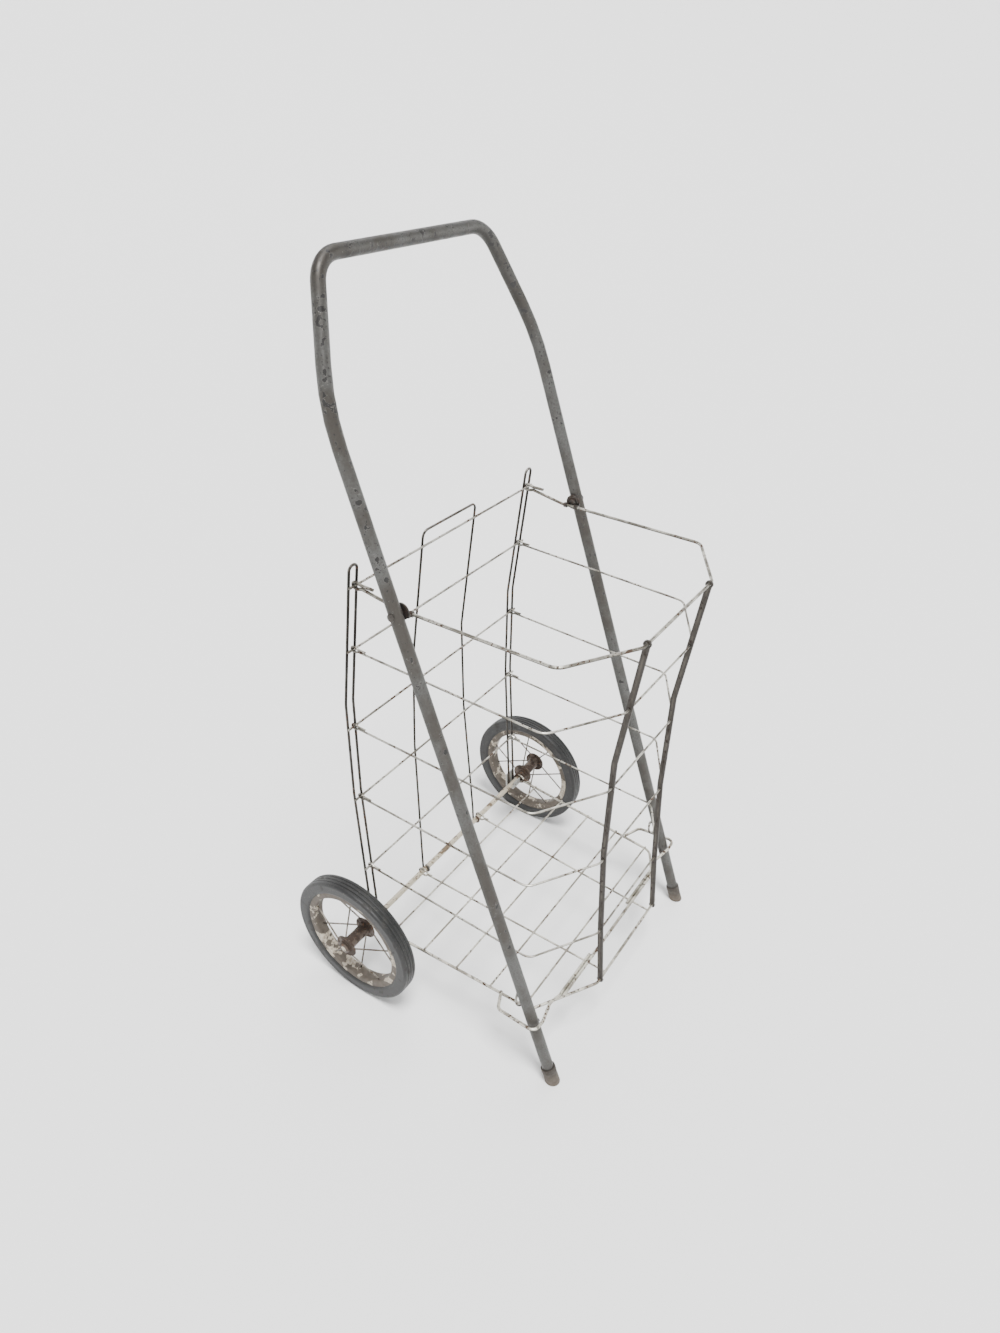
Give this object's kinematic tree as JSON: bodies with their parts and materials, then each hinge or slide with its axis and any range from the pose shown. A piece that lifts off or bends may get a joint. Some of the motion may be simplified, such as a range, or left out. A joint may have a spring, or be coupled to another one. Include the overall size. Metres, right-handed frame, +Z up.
{
  "type": "folding shopping trolley",
  "caption": "Folding wire shopping trolley: a bent tube handle, a basket of hinged wire rings and two spoked wheels.",
  "frame": {"origin": "on the ground in the middle of the footprint", "axes": "+Z up, -Y towards the front feet, X across, +X is the right side when pulling from behind"},
  "size_m": [0.504, 0.4233, 0.985],
  "materials": {
    "tube_paint": "silver-grey satin paint, chipped to dark metal",
    "foot_rubber": "matt, worn",
    "dark_steel": "dull, tarnished",
    "coil_wire": "zinc plated, spotted",
    "post_wire": "dull zinc, brown with age",
    "ring_wire": "bright zinc with rust spots",
    "bottom_wire": "bright zinc with rust spots",
    "strip_steel": "dark, worn along the middle",
    "axle_steel": "plated, brown spots",
    "clip_zinc": "light grey zinc",
    "hub_steel": "dark and rusty",
    "rim_paint": "cream paint, flaking",
    "spoke_wire": "dull, browned",
    "tyre_rubber": "matt black, scuffed"
  },
  "bodies": {
    "rear_frame": {"post_left": "post_wire", "post_right": "post_wire", "back_wire_1": "ring_wire", "back_wire_2": "ring_wire", "back_wire_3": "ring_wire", "back_wire_4": "ring_wire", "back_wire_5": "ring_wire", "back_hoop": "post_wire", "axle": "axle_steel", "axle_clip_left": "clip_zinc", "axle_clip_right": "clip_zinc", "axle_collar_left": "hub_steel", "axle_collar_right": "hub_steel", "axle_nut_left": "hub_steel", "axle_nut_right": "hub_steel"},
    "top_ring": {"top_ring": "ring_wire", "pivot_clip_left": "dark_steel", "pivot_clip_right": "dark_steel"},
    "ring_2": {"ring_2": "ring_wire"},
    "ring_3": {"ring_3": "ring_wire"},
    "ring_4": {"ring_4": "ring_wire"},
    "ring_5": {"ring_5": "ring_wire"},
    "bottom": {"bottom_frame": "bottom_wire", "bottom_wire_left": "bottom_wire", "bottom_wire_right": "bottom_wire", "cross_wire_1": "bottom_wire", "cross_wire_2": "bottom_wire", "cross_wire_3": "bottom_wire", "cross_wire_4": "bottom_wire", "cross_wire_5": "bottom_wire", "crossbar": "bottom_wire", "leg_guide_left": "bottom_wire", "leg_guide_right": "bottom_wire"},
    "front_strips": {"front_strip_left": "strip_steel", "front_strip_right": "strip_steel"},
    "handle_frame": {"handle_tube": "tube_paint", "foot_cap_left": "foot_rubber", "foot_cap_right": "foot_rubber", "pivot_rivet_left": "dark_steel", "pivot_rivet_right": "dark_steel", "latch_coil_left": "coil_wire", "latch_coil_right": "coil_wire", "leg_stud_left": "dark_steel", "leg_stud_right": "dark_steel"},
    "wheel_left": {"tyre_left": "tyre_rubber", "rim_left": "rim_paint", "hub_left": "hub_steel", "spokes_left": "spoke_wire"},
    "wheel_right": {"tyre_right": "tyre_rubber", "rim_right": "rim_paint", "hub_right": "hub_steel", "spokes_right": "spoke_wire"}
  },
  "joints": [
    {"name": "basket_fold", "type": "hinge", "parent": "rear_frame", "child": "top_ring", "pos_m": [0, 0.10678, 0.646], "axis": [-1, 0, 0], "range_deg": [0, 60]},
    {"name": "ring_2_hinge", "type": "hinge", "parent": "rear_frame", "child": "ring_2", "pos_m": [0, 0.11771, 0.557], "axis": [-1, 0, 0], "range_deg": [0, 60]},
    {"name": "ring_3_hinge", "type": "hinge", "parent": "rear_frame", "child": "ring_3", "pos_m": [0, 0.12778, 0.438], "axis": [-1, 0, 0], "range_deg": [0, 60]},
    {"name": "ring_4_hinge", "type": "hinge", "parent": "rear_frame", "child": "ring_4", "pos_m": [0, 0.12723, 0.321], "axis": [-1, 0, 0], "range_deg": [0, 60]},
    {"name": "ring_5_hinge", "type": "hinge", "parent": "rear_frame", "child": "ring_5", "pos_m": [0, 0.11965, 0.196], "axis": [-1, 0, 0], "range_deg": [0, 60]},
    {"name": "bottom_hinge", "type": "hinge", "parent": "rear_frame", "child": "bottom", "pos_m": [0, 0.11133, 0.1], "axis": [-1, 0, 0], "range_deg": [0, 60]},
    {"name": "strip_hinge", "type": "hinge", "parent": "top_ring", "child": "front_strips", "pos_m": [0, -0.20722, 0.636], "axis": [-1, 0, 0], "range_deg": [-60, 0]},
    {"name": "leg_pivot", "type": "hinge", "parent": "top_ring", "child": "handle_frame", "pos_m": [0, 0.03533, 0.64], "axis": [-1, 0, 0], "range_deg": [-67.5, 0]},
    {"name": "wheel_left_spin", "type": "hinge", "parent": "rear_frame", "child": "wheel_left", "pos_m": [-0.226, 0.11133, 0.1], "axis": [1, 0, 0], "continuous": true},
    {"name": "wheel_right_spin", "type": "hinge", "parent": "rear_frame", "child": "wheel_right", "pos_m": [0.226, 0.11133, 0.1], "axis": [1, 0, 0], "continuous": true}
  ],
  "couplings": [
    {"joint": "ring_2_hinge", "follows": "basket_fold", "ratio": 1},
    {"joint": "ring_3_hinge", "follows": "basket_fold", "ratio": 1},
    {"joint": "ring_4_hinge", "follows": "basket_fold", "ratio": 1},
    {"joint": "ring_5_hinge", "follows": "basket_fold", "ratio": 1},
    {"joint": "bottom_hinge", "follows": "basket_fold", "ratio": 1},
    {"joint": "strip_hinge", "follows": "basket_fold", "ratio": -1},
    {"joint": "leg_pivot", "follows": "basket_fold", "ratio": -1.125}
  ]
}
